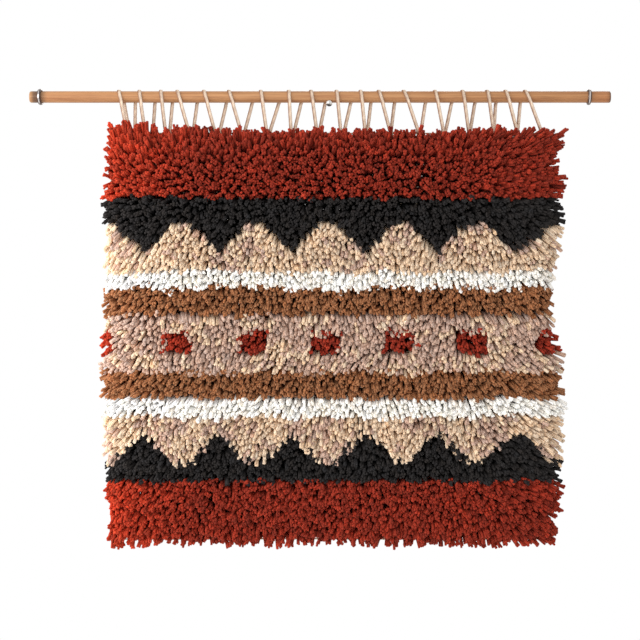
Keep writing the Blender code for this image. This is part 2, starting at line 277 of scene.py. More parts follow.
# ---- materials ----------------------------------------------------------------
class Look:
    """A procedural material on one Principled shader."""

    def __init__(self, name, roughness, metallic=0.0, **sockets):
        self.material = bpy.data.materials.new(name)
        self.material.use_nodes = True
        self.tree = self.material.node_tree
        self.shader = self.tree.nodes["Principled BSDF"]
        self.shader.inputs["Roughness"].default_value = roughness
        self.shader.inputs["Metallic"].default_value = metallic
        for socket, value in sockets.items():
            self.shader.inputs[socket].default_value = value
        self.object_place = self.node("ShaderNodeTexCoord").outputs["Object"]

    def node(self, kind, **settings):
        made = self.tree.nodes.new(kind)
        for key, value in settings.items():
            if isinstance(key, str) and hasattr(made, key):
                setattr(made, key, value)
        return made

    def link(self, a, b):
        self.tree.links.new(a, b)

    def scaled(self, scale, place=None, turn=(0, 0, 0)):
        made = self.node("ShaderNodeMapping")
        made.inputs["Scale"].default_value = scale
        made.inputs["Rotation"].default_value = turn
        self.link(place or self.object_place, made.inputs["Vector"])
        return made.outputs["Vector"]

    def noise(self, scale, detail=3.0, rough=0.55, place=None):
        made = self.node("ShaderNodeTexNoise")
        made.inputs["Scale"].default_value = scale
        made.inputs["Detail"].default_value = detail
        made.inputs["Roughness"].default_value = rough
        self.link(place or self.object_place, made.inputs["Vector"])
        return made.outputs["Fac"]

    def ramp(self, value, *stops):
        made = self.node("ShaderNodeValToRGB")
        elements = made.color_ramp.elements
        while len(elements) < len(stops):
            elements.new(0.5)
        for element, (at, colour) in zip(elements, stops):
            element.position = at
            element.color = (*colour, 1.0) if hasattr(colour, "__len__") else (colour, colour, colour, 1.0)
        self.link(value, made.inputs["Fac"])
        return made.outputs["Color"]

    def mix(self, a, b, fac, blend="MIX"):
        made = self.node("ShaderNodeMix", data_type="RGBA", blend_type=blend)
        for socket, value in ((made.inputs[0], fac), (made.inputs[6], a), (made.inputs[7], b)):
            if isinstance(value, bpy.types.NodeSocket):
                self.link(value, socket)
            elif hasattr(value, "__len__"):
                socket.default_value = (*value, 1.0) if len(value) == 3 else value
            else:
                socket.default_value = value
        return made.outputs[2]

    def bump(self, height, strength, distance):
        made = self.node("ShaderNodeBump")
        made.inputs["Strength"].default_value = strength
        made.inputs["Distance"].default_value = distance
        self.link(height, made.inputs["Height"])
        if self.shader.inputs["Normal"].is_linked:
            self.link(self.shader.inputs["Normal"].links[0].from_socket, made.inputs["Normal"])
        self.link(made.outputs["Normal"], self.shader.inputs["Normal"])

    def colour(self, output):
        self.link(output, self.shader.inputs["Base Color"])

    def roughness(self, output):
        self.link(output, self.shader.inputs["Roughness"])


def wool_look(name, colour, sheen, through):
    """Wool whose strands each carry their own shade, with painted light making them paler at the root, and a fine fibre
    grain. Pale wool lets light through.
    """
    look = Look(name, 0.92, **{"Sheen Weight": sheen, "Sheen Roughness": 0.55, "Specular IOR Level": 0.22})
    look.shader.inputs["Subsurface Weight"].default_value = 0.5 * through
    look.shader.inputs["Subsurface Radius"].default_value = (1.0, 0.95, 0.9)
    look.shader.inputs["Subsurface Scale"].default_value = 0.003
    tint = tuple(min(1.0, c * 1.3 + 0.06) for c in colour)
    look.shader.inputs["Sheen Tint"].default_value = (*tint, 1.0)
    strand = look.node("ShaderNodeVertexColor", layer_name="strand").outputs["Color"]
    fibres = look.noise(1300.0, 3.0, 0.65)
    plies = look.noise(420.0, 2.0, 0.5)
    grain = 1.0 - 0.75 * through
    shaded = look.mix(strand, look.ramp(fibres, (0.30, 0.72), (0.72, 1.22)), 0.75 * grain, "MULTIPLY")
    shaded = look.mix(shaded, look.ramp(plies, (0.32, 0.88), (0.70, 1.10)), 0.8 * grain, "MULTIPLY")
    look.colour(shaded)
    look.bump(fibres, 0.7 * grain, 0.0008)
    look.bump(plies, 0.6 * grain, 0.0012)
    return look.material


def canvas_look():
    look = Look("canvas_cotton", 0.85, **{"Sheen Weight": 0.15, "Specular IOR Level": 0.25})
    twist = look.noise(900.0, 2.0, 0.5, look.scaled((1.0, 1.0, 0.35)))
    blotch = look.noise(18.0, 3.0, 0.6)
    base = look.ramp(twist, (0.3, (0.46, 0.37, 0.26)), (0.7, (0.74, 0.65, 0.50)))
    look.colour(look.mix(base, look.ramp(blotch, (0.3, 0.82), (0.75, 1.05)), 0.8, "MULTIPLY"))
    look.bump(twist, 0.6, 0.0005)
    return look.material


def cord_look():
    look = Look("cord_cotton", 0.5, **{"Specular IOR Level": 0.45})
    strand = look.node("ShaderNodeVertexColor", layer_name="strand").outputs["Color"]
    fibres = look.noise(1500.0, 3.0, 0.6)
    soil = look.noise(45.0, 3.0, 0.6)
    base = look.mix(strand, look.ramp(fibres, (0.3, 0.80), (0.72, 1.18)), 0.8, "MULTIPLY")
    look.colour(look.mix(base, look.ramp(soil, (0.32, (0.90, 0.86, 0.80)), (0.66, (1.04, 1.03, 1.0))), 0.7, "MULTIPLY"))
    look.bump(fibres, 0.5, 0.0004)
    return look.material


def wood_look():
    """Straight-grained wood along X. Its colour carries painted light: paler and more orange at the left end and darker
    towards the right, where the light falls off. It is also darker in a band just left of the left ring and at the very
    right end.
    """
    look = Look("dowel_wood", 0.5, **{"Specular IOR Level": 0.4, "Coat Weight": 0.12, "Coat Roughness": 0.35})
    grain = look.noise(1.0, 5.0, 0.62, look.scaled((9.0, 330.0, 330.0)))
    pores = look.noise(1.0, 2.0, 0.5, look.scaled((38.0, 1500.0, 1500.0)))
    figure = look.noise(1.0, 3.0, 0.5, look.scaled((5.0, 60.0, 60.0)))
    base = look.ramp(grain, (0.30, (0.33, 0.150, 0.064)), (0.52, (0.435, 0.228, 0.102)), (0.74, (0.51, 0.292, 0.146)))
    base = look.mix(base, look.ramp(figure, (0.3, (0.84, 0.78, 0.74)), (0.7, (1.08, 1.06, 1.02))), 0.7, "MULTIPLY")
    base = look.mix(base, look.ramp(pores, (0.36, 0.66), (0.50, 1.0)), 0.55, "MULTIPLY")
    split = look.node("ShaderNodeSeparateXYZ")
    look.link(look.object_place, split.inputs[0])
    far = look.node("ShaderNodeMapRange")
    far.inputs["From Min"].default_value = DOWEL_LEFT * 0.001
    far.inputs["From Max"].default_value = DOWEL_RIGHT * 0.001
    look.link(split.outputs["X"], far.inputs["Value"])
    # painted light along the rod: paler at the left end and darker towards the right; also a darker band just left of
    # the left ring and a darker right end
    base = look.mix(
        base,
        look.ramp(
            far.outputs["Result"],
            (0.0, (0.84, 0.86, 0.84)),
            (0.0035, (0.98, 1.0, 0.98)),
            (0.0062, (0.42, 0.41, 0.45)),
            (0.0130, (0.30, 0.29, 0.33)),
            (0.0250, (0.78, 0.76, 0.72)),
            (0.0310, (1.08, 1.02, 0.98)),
            (0.55, (0.98, 0.94, 0.90)),
            (0.950, (0.86, 0.77, 0.68)),
            (0.9945, (0.94, 0.76, 0.66)),
            (0.9975, (0.66, 0.54, 0.46)),
            (0.9992, (0.24, 0.20, 0.18)),
        ),
        1.0,
        "MULTIPLY",
    )
    look.colour(base)
    look.roughness(look.ramp(grain, (0.3, 0.60), (0.7, 0.44)))
    look.bump(grain, 0.25, 0.0004)
    look.bump(pores, 0.30, 0.0002)
    return look.material


def ring_look(dark, pale, painted_highlight, roughness):
    """Dark steel, with a painted highlight: a bright band along the ring's crest."""
    look = Look("ring_steel", roughness, 1.0)
    dull = look.noise(300.0, 4.0, 0.6)
    highlight_band = look.node("ShaderNodeVertexColor", layer_name="painted_highlight").outputs["Color"]
    base = look.ramp(dull, (0.3, dark), (0.7, pale))
    look.colour(look.mix(base, painted_highlight, highlight_band))
    return look.material


def pin_look():
    """Polished nickel, with painted shade darkening the lower part of its head."""
    look = Look("pin_nickel", 0.12, 1.0)
    split = look.node("ShaderNodeSeparateXYZ")
    look.link(look.object_place, split.inputs[0])
    rim = look.node("ShaderNodeMath", operation="MULTIPLY_ADD")
    rim.inputs[1].default_value = 0.45
    look.link(split.outputs["X"], rim.inputs[0])
    look.link(split.outputs["Z"], rim.inputs[2])
    far = look.node("ShaderNodeMapRange")
    far.inputs["From Min"].default_value = -0.0040
    far.inputs["From Max"].default_value = 0.0040
    look.link(rim.outputs[0], far.inputs["Value"])
    specks = look.noise(500.0, 4.0, 0.6)
    # painted shade: the lower half of the head is darker, darkest at its lower rim
    base = look.ramp(far.outputs["Result"], (0.18, (0.10, 0.095, 0.095)), (0.36, (0.22, 0.215, 0.21)), (0.50, (0.80, 0.79, 0.77)))
    look.colour(look.mix(base, look.ramp(specks, (0.3, 0.86), (0.7, 1.04)), 1.0, "MULTIPLY"))
    return look.material


# ---- camera --------------------------------------------------------------------
MM_PER_PIXEL = 1.3035
PHOTO = 640
AXIS_PIXEL = (329.2, 97.0)  # where the middle of the dowel's axis shows above the pin
CAMERA_AWAY = 2.45
camera = bpy.data.objects.new("camera", bpy.data.cameras.new("camera"))
bpy.context.scene.collection.objects.link(camera)
bpy.context.scene.camera = camera
camera.data.sensor_width = 36.0
camera.data.lens = 36.0 * CAMERA_AWAY / (PHOTO * MM_PER_PIXEL * 0.001)
camera.location = (
    (PHOTO / 2 - AXIS_PIXEL[0]) * MM_PER_PIXEL * 0.001,
    -WALL * 0.001 - CAMERA_AWAY,
    PIN_DROP * 0.001 + (AXIS_PIXEL[1] - PHOTO / 2) * MM_PER_PIXEL * 0.001,
)
camera.rotation_euler = (math.pi / 2, 0.0, 0.0)
camera.data.clip_end = 30.0


# ---- design: plain stripes with stepped triangles --------------------------------
def chart():
    """The wool of each knot, by row and column: plain stripes, with stepped triangles along the black ones and a row of blocks in the middle one."""
    rows = [wool for wool, count in STRIPES for _ in range(count)]
    grid = np.array([[wool] * MESH_COLUMNS for wool in rows], dtype=object)
    for c in range(MESH_COLUMNS):
        off = abs((c % STEPS_PERIOD) - STEPS_PERIOD // 2)  # columns from the triangle's middle
        high = max(0, 5 - off)
        for step in range(high):
            grid[15 + step, c] = "black"  # hanging from the upper black stripe
            grid[KNOT_ROWS - 16 - step, c] = "black"  # standing on the lower one
        half = abs(((c + STEPS_PERIOD // 2 + 1) % STEPS_PERIOD) - STEPS_PERIOD // 2)
        if half <= 2:
            grid[34:38, c] = "rust"
    # yarns mixed by hand within the pale stripes
    patches = np.array([[noise.noise(Vector((c / 7.0, r / 4.5, 5.3))) for c in range(MESH_COLUMNS)] for r in range(KNOT_ROWS)])
    chance = rng.random(grid.shape)
    swap = {"tan": "taupe", "taupe": "tan"}
    for wool, other in swap.items():
        mixed = (grid == wool) & (chance < 0.10 + 0.55 * np.clip(patches * 2.2, 0, 1))
        grid = np.where(mixed, "to_" + other, grid)
    for wool in WOOLS:
        grid[grid == "to_" + wool] = wool
    return grid


# ---- knots ------------------------------------------------------------------------
grid = chart()
rows, cols = np.meshgrid(np.arange(KNOT_ROWS), np.arange(MESH_COLUMNS), indexing="ij")
rows, cols, wools = rows.ravel(), cols.ravel(), grid.ravel()
kept = ~((rows == 0) & np.isin(cols, LACED_COLUMNS))  # the cord passes there
rows, cols, wools = rows[kept], cols[kept], wools[kept]
knot_x = CANVAS_LEFT + (cols + 0.5) * MESH_PITCH
knot_z = CANVAS_TOP - (rows + 1.0) * MESH_PITCH
knot_y = canvas_y(knot_x, knot_z)


def strand_lines():
    """The middle line of both legs of each knot, from the canvas out to the tip: they lean down under their weight, and out over the edges."""
    count = len(rows)
    across = (cols + 0.5) / MESH_COLUMNS
    down = (rows + 0.5) / KNOT_ROWS
    x0, z0 = np.repeat(knot_x, 2), np.repeat(knot_z, 2)
    across, down = np.repeat(across, 2), np.repeat(down, 2)
    droop = np.repeat([WOOLS[w][1] for w in wools], 2)
    deeper = np.repeat([WOOLS[w][4] for w in wools], 2)
    leg = np.tile([-1.0, 1.0], count)
    n = count * 2

    left, right = column(SIDES, -z0, 1), column(SIDES, -z0, 2)
    bottom = -column(ENDS, x0, 2)
    first_x, last_x = CANVAS_LEFT + 0.5 * MESH_PITCH, CANVAS_LEFT + (MESH_COLUMNS - 0.5) * MESH_PITCH
    beside = 2 * across - 1
    lean_x = np.where(beside < 0, (first_x - (left + 2.6)), (right - 2.6 - last_x)) * np.sign(beside) * np.abs(beside) ** 3.6
    top = -column(ENDS, x0 + lean_x, 1)
    beyond_top = np.clip(1 - down * KNOT_ROWS / 20.0, 0, 1) ** 1.8
    beyond_bottom = np.clip(1 - (1 - down) * KNOT_ROWS / 6.0, 0, 1) ** 1.5
    tip_z = z0 - droop
    tip_z += beyond_top * ((top - 2.0) - (CANVAS_TOP - MESH_PITCH - droop))
    tip_z += beyond_bottom * ((bottom + 2.0) - (CANVAS_TOP - KNOT_ROWS * MESH_PITCH - droop))
    tip_x = x0 + lean_x + leg * 2.0

    edge = np.minimum.reduce([across * MESH_COLUMNS, (1 - across) * MESH_COLUMNS, down * KNOT_ROWS, (1 - down) * KNOT_ROWS]) * MESH_PITCH
    crown = EDGE_START + (1 - EDGE_START) * np.sqrt(1 - (1 - np.clip(edge / 27.0, 0, 1)) ** 2)
    depth = column(DEPTHS, down, 1) * (1 + deeper) * crown

    clump = field(x0, z0, 15.0, 2.0) * (5.5, 3.0, 5.5) + field(x0 + leg * 3, z0, 6.5, 8.0) * (3.4, 2.6, 3.4)
    stray = rng.normal(0, 1, (n, 3)) * (1.5, 1.8, 1.7)
    loose = (rng.random(n) < 0.035)[:, None] * rng.normal(0, 1, (n, 3)) * (3.5, 1.5, 3.5)
    combed = np.repeat(np.isin(wools, ("tan", "cream", "taupe")), 2)
    moved = (clump + stray + loose) * np.where(combed, 0.72, 1.0)[:, None]
    swirl = field(x0, z0, 62.0, 4.0)
    moved[:, 0] += combed * swirl[:, 0] * 13.0
    moved[:, 2] += combed * swirl[:, 2] * 7.0
    calm_x = np.clip(np.minimum(across, 1 - across) * MESH_COLUMNS * MESH_PITCH / 12.0, 0.5, 1.0)
    calm_z = np.clip(np.minimum(down, 1 - down) * KNOT_ROWS * MESH_PITCH / 12.0, 0.5, 1.0)
    # the knots round each laced opening spread over it
    for laced in LACED_COLUMNS:
        column_off = np.repeat(cols, 2) - laced
        top_rows = np.repeat(rows, 2)
        near = (top_rows == 0) & (np.abs(column_off) == 1) & (leg == -np.sign(column_off))
        tip_x[near] -= np.sign(column_off[near]) * 2.6
        below = (top_rows == 1) & (column_off == 0)
        tip_z[below] += 5.5
        moved[near | below, 1] = 0.0
    tip_x += moved[:, 0] * calm_x
    tip_z += moved[:, 2] * calm_z
    # along the edges the tips fan every way, so the edge is full
    fan_x = np.clip(np.abs(beside) * 14 - 13, 0, 1)
    fan_z = np.maximum(np.clip(1 - down * KNOT_ROWS / 2.5, 0, 1), np.clip(1 - (1 - down) * KNOT_ROWS / 2.5, 0, 1))
    tip_z += fan_x * rng.uniform(-4.6, 4.6, n)
    tip_x -= np.sign(beside) * fan_x * rng.uniform(0, 6.5, n)
    tip_x += np.clip(1 - np.minimum(down, 1 - down) * KNOT_ROWS / 5.0, 0, 1) * rng.uniform(-5.6, 5.6, n)
    tip_z += np.where(down < 0.5, -1, 1) * fan_z * rng.uniform(0, 3.6, n)
    tip_z += np.array([1.4, 6.2, 4.2, 1.6, 0.0])[np.minimum(np.repeat(rows, 2), 4)]  # the first rows crowd up over the canvas's edge
    tip_y = canvas_y(tip_x, np.minimum(tip_z, CANVAS_TOP)) - 1.0 - np.maximum(depth + moved[:, 1], 7.0)

    tilt = np.repeat(rng.choice([-1.0, 1.0], count), 2) * leg  # one leg of each knot comes out above the other
    tip_z += tilt * 1.7
    base = np.stack([x0 + leg * 1.4, np.repeat(knot_y, 2) - 0.9, z0 - 0.9 + tilt * 1.0], axis=1)
    tip = np.stack([tip_x, tip_y, tip_z], axis=1)
    long = np.linalg.norm(tip - base, axis=1)[:, None]
    out = np.stack([0.25 * (tip_x - base[:, 0]) / long[:, 0], np.full(n, -1.0), 0.12 * (tip_z - base[:, 2]) / long[:, 0] + 0.12], axis=1)
    out /= np.linalg.norm(out, axis=1)[:, None]
    fall = np.stack(
        [
            (tip_x - base[:, 0]) / long[:, 0] * 0.9 + rng.normal(0, 0.16, n),
            np.full(n, -0.55) - 0.12 * (droop < 8),
            (tip_z - base[:, 2]) / long[:, 0] * 1.15 + rng.normal(0, 0.14, n),
        ],
        axis=1,
    )
    fall /= np.linalg.norm(fall, axis=1)[:, None]
    a, b = base + out * long * 0.42, tip - fall * long * 0.36
    t = np.array([0.0, 0.5, 0.97])[None, :, None]
    lines = (1 - t) ** 3 * base[:, None] + 3 * (1 - t) ** 2 * t * a[:, None] + 3 * (1 - t) * t**2 * b[:, None] + t**3 * tip[:, None]
    return lines


def build_pile():
    """Each strand is three plies laid round each other, which open out towards the cut end."""
    lines = strand_lines()
    strand_wool = np.repeat(wools, 2)
    upper = np.repeat(rows < KNOT_ROWS / 2, 2)
    made = []
    for wool, (colour, _, radius, tip_share, _, sheen, through) in WOOLS.items():
        look = wool_look(f"wool_{wool}", colour, sheen, through)
        parts = (("upper", upper), ("lower", ~upper)) if np.count_nonzero(strand_wool == wool) > 2900 else (("all", upper | ~upper),)
        for part, within in parts:
            chosen = np.flatnonzero((strand_wool == wool) & within)
            count = len(chosen)
            line = lines[chosen]
            ahead = line[:, 2] - line[:, 0]
            ahead /= np.linalg.norm(ahead, axis=1, keepdims=True)
            side = np.cross(ahead, (0.31, 0.12, 0.94))
            side /= np.linalg.norm(side, axis=1, keepdims=True)
            up = np.cross(ahead, side)
            start = rng.random(count) * 2 * math.pi
            twist = rng.normal(2.6, 0.5, count)
            size = radius * rng.normal(1.0, 0.07, count).clip(0.82, 1.2)
            tight = 0.72 if through > 0.6 else 1.0
            plies, radii, shades = [], [], []
            for k in range(3):
                angle = start[:, None] + 2 * math.pi * k / 3 + twist[:, None] * np.array([0.0, 0.5, 1.0])[None, :]
                angle += rng.normal(0, 0.22, (count, 3))
                apart = size[:, None] * np.array([0.72, 0.50 * tight, 0.62 * tip_share * tight])[None, :] * rng.normal(1, 0.12, (count, 3))
                apart[:, 2] *= rng.normal(1.0, 0.25, count).clip(0.5, 1.8)
                ply = line + (apart * np.cos(angle))[..., None] * side[:, None] + (apart * np.sin(angle))[..., None] * up[:, None]
                ply[:, 2] += ahead * rng.normal(0, 0.9, count)[:, None]  # the cut isn't quite even
                plies.append(ply)
                radii.append(size[:, None] * np.array([1.38, 0.68 + 0.3 * (1 - tight), (0.62 + 0.3 * (1 - tight)) * tip_share])[None, :] * rng.normal(1.0, 0.06, (count, 3)))
                shades.append(rng.normal(1.0, 0.07, count))
            points, faces, per = tubes(
                np.concatenate(plies),
                np.concatenate(radii),
                4,
                start=rng.random(count * 3) * 2 * math.pi,
            )
            obj = mesh_object(f"pile_{wool}_{part}", place(points), faces)
            # each strand and ply has its own shade; painted light makes it paler towards its root, lifting the shade
            # deep in the pile
            varied = 0.17 if wool == "rust" else 0.09
            shade = np.tile(rng.normal(1.0, varied, count).clip(0.62, 1.5), 3) * np.concatenate(shades)
            warm = np.tile(rng.normal(0.0, 0.035, count), 3)
            # painted light: the strands are paler towards the left edge, where the light falls from the left, most of
            # all in the rust
            painted_left_light = np.tile(np.clip(1 - (np.repeat(knot_x, 2)[chosen] - CANVAS_LEFT) / 120.0, 0, 1), 3)
            painted_left_gain = np.array((0.85, 0.72, 0.40) if wool == "rust" else (0.36, 0.36, 0.36))
            shade = shade[:, None] * (1 + painted_left_gain[None, :] * painted_left_light[:, None])
            own = np.asarray(colour)[None, :] * shade * np.stack([1 + warm, np.ones(count * 3), 1 - warm], axis=1)
            # painted light: the root ring is paler than the tip, to lift the shade between strands
            painted_root_light = np.array([1.45, 1.12, 1.0]) if through < 0.6 else np.array([1.22, 1.08, 1.0])
            along = np.concatenate([np.repeat(painted_root_light, 4), painted_root_light[-1:] * 1.03])
            colours = own[:, None, :] * along[None, :, None]
            colours = np.concatenate([colours.reshape(-1, 3), np.ones((count * 3 * per, 1))], axis=1)
            point_colours(obj, "strand", colours.clip(0, 1))
            obj.data.materials.append(look)
            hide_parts("pile")
            made.append(obj)
    return made


# ---- the knots' backs: yarn over each bar of the canvas -----------------------------
def build_knot_backs():
    """Behind the canvas each knot shows as two short turns of yarn side by side over its bar."""
    ring_angles = np.radians([-88.0, 0.0, 88.0])
    section = ((-2.8, 0.76), (-1.4, 1.00), (0.0, 0.80), (1.4, 1.00), (2.8, 0.76))  # across, outwards
    made = []
    for name, group in (("knots_dark", ("rust", "black", "brown")), ("knots_pale", ("tan", "cream", "taupe"))):
        chosen = np.flatnonzero(np.isin(wools, group))
        count = len(chosen)
        spread = rng.normal(1.0, 0.07, count)
        tilt = rng.normal(0, 0.10, count)
        points = np.empty((count, 3, 5, 3))
        for r, angle in enumerate(ring_angles):
            for s, (across, outwards) in enumerate(section):
                reach = (1.15 + outwards * 1.25) * spread
                points[:, r, s, 0] = knot_x[chosen] + across * spread + tilt * math.sin(angle) * 2.0
                points[:, r, s, 1] = knot_y[chosen] + reach * math.cos(angle) * 1.1
                points[:, r, s, 2] = knot_z[chosen] + reach * math.sin(angle) * 1.85
        k = np.arange(5)
        r = np.arange(2)[:, None]
        quad = np.stack([r * 5 + k, (r + 1) * 5 + k, (r + 1) * 5 + (k + 1) % 5, r * 5 + (k + 1) % 5], axis=-1).reshape(-1, 4)
        ends = np.array([k, (10 + k)[::-1]])
        offsets = (np.arange(count) * 15)[:, None, None]
        obj = mesh_object(name, place(points.reshape(-1, 3)), [(quad[None] + offsets).reshape(-1, 4), (ends[None] + offsets).reshape(-1, 5)])
        own = np.array([WOOLS[w][0] for w in wools[chosen]]) * rng.normal(0.95, 0.09, count).clip(0.7, 1.2)[:, None]
        colours = np.repeat(own[:, None, :], 15, axis=1)
        # painted shade: the middle of each knot's back, the groove between its two turns of yarn, is darkened
        colours[:, [2, 7, 12]] *= 0.7
        point_colours(obj, "strand", np.concatenate([colours.reshape(-1, 3), np.ones((count * 15, 1))], axis=1).clip(0, 1))
        obj.data.materials.append(wool_look(f"wool_{name}", (0.4, 0.3, 0.2), 0.18, 0.1))
        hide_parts("pile")
        made.append(obj)
    return made


# ---- canvas: bars of thread both ways -------------------------------------------------
def build_canvas():
    """Open canvas: upright bars behind, level bars before them, each a flattened thread that dips where they cross."""
    right = CANVAS_LEFT + MESH_COLUMNS * MESH_PITCH
    bottom = CANVAS_TOP - MESH_ROWS * MESH_PITCH
    rings = 26
    ups = np.empty((MESH_COLUMNS + 1, rings, 3))
    for c in range(MESH_COLUMNS + 1):
        x = CANVAS_LEFT + c * MESH_PITCH
        z = np.linspace(CANVAS_TOP + 1.0, bottom - 1.0, rings)
        ups[c, :, 0] = x
        ups[c, :, 2] = z
        ups[c, :, 1] = canvas_y(x, z) + 0.38
    levels = np.empty((MESH_ROWS + 1, rings, 3))
    for r in range(MESH_ROWS + 1):
        z = CANVAS_TOP - r * MESH_PITCH
        x = np.linspace(CANVAS_LEFT - 1.0, right + 1.0, rings)
        levels[r, :, 0] = x
        levels[r, :, 2] = z
        levels[r, :, 1] = canvas_y(x, np.full(rings, z)) - 0.30
    points, faces, _ = tubes(ups, np.full(ups.shape[:2], 1.06), 6)
    more, more_faces, _ = tubes(levels, np.full(levels.shape[:2], 1.04), 6)
    count = len(points)
    points = np.concatenate([points, more])
    flat = points.copy()
    middle = canvas_y(points[:, 0], points[:, 2])
    flat[:, 1] = middle + (points[:, 1] - middle) * 0.72  # pressed flatter than round
    obj = mesh_object("rug_canvas", place(flat), faces + [f + count for f in more_faces])
    obj.data.materials.append(canvas_look())
    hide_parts("canvas")
    return obj


# ---- lacing cord ---------------------------------------------------------------------
def lacing_route():
    """The cord's middle line, closely spaced, along the same turns as its solid."""
    wrap = DOWEL_RADIUS + CORD_OFF_DOWEL + CORD_RADIUS
    low = math.acos(wrap / math.hypot(CORD_BEND, BEND_Z)) + math.atan2(CORD_BEND, -BEND_Z)
    tangent_z = -wrap * math.cos(low)
    points = []

    def strand_y(z):
        return CORD_BEND + (wrap * math.sin(low) - CORD_BEND) * (z - BEND_Z) / (tangent_z - BEND_Z)

    def over_dowel(x_under, x_over, x_front):
        points.append((x_under, strand_y(-DOWEL_RADIUS), -DOWEL_RADIUS))
        for k in range(15):
            angle = low + (2 * math.pi - 2 * low) * k / 14
            y, z = wrap * math.sin(angle), -wrap * math.cos(angle)
            if angle <= math.pi:
                x = x_under + (x_over - x_under) * (z + DOWEL_RADIUS) / (wrap + DOWEL_RADIUS)
            else:
                x = x_over + (x_front - x_over) * (wrap - z) / (wrap - PILE_EDGE)
            points.append((x, y, z))

    end, edge, under = CORD_START
    points.append((end, CORD_BEND, BEND_Z - 3.0))
    points.append((edge, strand_y(PILE_EDGE), PILE_EDGE))
    for number, ((over, front, back, next_under), hole) in enumerate(zip(TURNS, LACED_X)):
        over_dowel(under, over, front)
        points.append((front, -strand_y(PILE_EDGE), PILE_EDGE))
        for angle in (0.0, 30.0, 60.0, 90.0, 120.0, 150.0, 180.0):
            turn = math.radians(angle)
            points.append((hole, -CORD_BEND * math.cos(turn), BEND_Z - CORD_BEND * math.sin(turn)))
        if number < len(TURNS) - 1:
            points.append((back, strand_y(PILE_EDGE), PILE_EDGE))
        under = next_under
    points.append((LACED_X[-1], CORD_BEND, BEND_Z + 5.0))
    return np.array(points)


def evenly(points, step):
    long = np.concatenate([[0], np.cumsum(np.linalg.norm(np.diff(points, axis=0), axis=1))])
    at = np.linspace(0, long[-1], int(long[-1] / step) + 1)
    return np.stack([np.interp(at, long, points[:, k]) for k in range(3)], axis=1), long[-1]


def parallel_tube(line, radius, sides, lobes, twist):
    """One tube along a long line, its frame carried along without spin and then twisted by so many turns a millimetre."""
    ahead = np.gradient(line, axis=0)
    ahead /= np.linalg.norm(ahead, axis=1, keepdims=True)
    side = np.empty_like(line)
    side[0] = np.cross(ahead[0], (1.0, 0.0, 0.0))
    side[0] /= np.linalg.norm(side[0])
    for n in range(1, len(line)):
        v = side[n - 1] - ahead[n] * np.dot(side[n - 1], ahead[n])
        side[n] = v / np.linalg.norm(v)
    up = np.cross(ahead, side)
    step = np.linalg.norm(line[1] - line[0])
    angle = 2 * math.pi * (np.arange(sides) / sides)[None, :] + 2 * math.pi * twist * step * np.arange(len(line))[:, None]
    reach = radius * np.asarray(lobes)[None, :]
    rim = line[:, None] + (reach * np.cos(angle))[..., None] * side[:, None] + (reach * np.sin(angle))[..., None] * up[:, None]
    k = np.arange(sides)
    r = np.arange(len(line) - 1)[:, None]
    quad = np.stack([r * sides + k, r * sides + (k + 1) % sides, (r + 1) * sides + (k + 1) % sides, (r + 1) * sides + k], axis=-1).reshape(-1, 4)
    last = (len(line) - 1) * sides
    return rim.reshape(-1, 3), [quad, np.array([k[::-1], last + k])]


def build_lacing():
    line, long = evenly(lacing_route(), 1.7)
    kernel = np.array([1, 2, 3, 2, 1]) / 9.0
    smooth = line.copy()
    for k in range(3):
        smooth[2:-2, k] = np.convolve(line[:, k], kernel, mode="valid")
    lobes = (1.27, 1.20, 1.13) * 4  # four plies, softer and fuller than the solid
    points, faces = parallel_tube(smooth, CORD_RADIUS, 12, lobes, 1 / 9.5)
    # the soft cord lies flatter where it goes over the dowel
    middle = np.repeat(smooth, 12, axis=0)
    off = points - middle
    reach = np.hypot(points[:, 1], points[:, 2])
    pressed = np.clip((middle[:, 2] + 13.0) / 9.0, 0, 1)
    closer = DOWEL_RADIUS + 0.15 + np.maximum(reach - DOWEL_RADIUS - 0.15, -0.1) * (1 - 0.56 * pressed)
    points[:, 1:] *= (closer / reach)[:, None]
    obj = mesh_object("lacing_cord", place(points), faces)
    # cream on its front, with a brown edge along its left side and painted shade, a greyer tone, along its right side
    ply = np.tile(np.array([1.0, 0.98, 0.90] * 4), len(smooth))
    drift = np.repeat(1 + 0.05 * np.sin(np.arange(len(smooth)) * 0.021), 12)
    brown = np.clip((-off[:, 0] / CORD_RADIUS - 0.02) / 0.34, 0, 1)[:, None]
    painted_shade_right = np.clip((off[:, 0] / CORD_RADIUS - 0.65) / 0.4, 0, 1)[:, None]
    colours = np.array([[1.0, 0.83, 0.67]]) * (1 - brown) + np.array([[0.21, 0.098, 0.052]]) * brown
    colours = colours * (1 - painted_shade_right) + np.array([[0.78, 0.62, 0.52]]) * painted_shade_right
    colours = colours * (ply * drift)[:, None]
    point_colours(obj, "strand", np.concatenate([colours, np.ones((len(colours), 1))], axis=1).clip(0, 1))
    obj.data.materials.append(cord_look())
    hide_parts("lacing")
    return obj, long


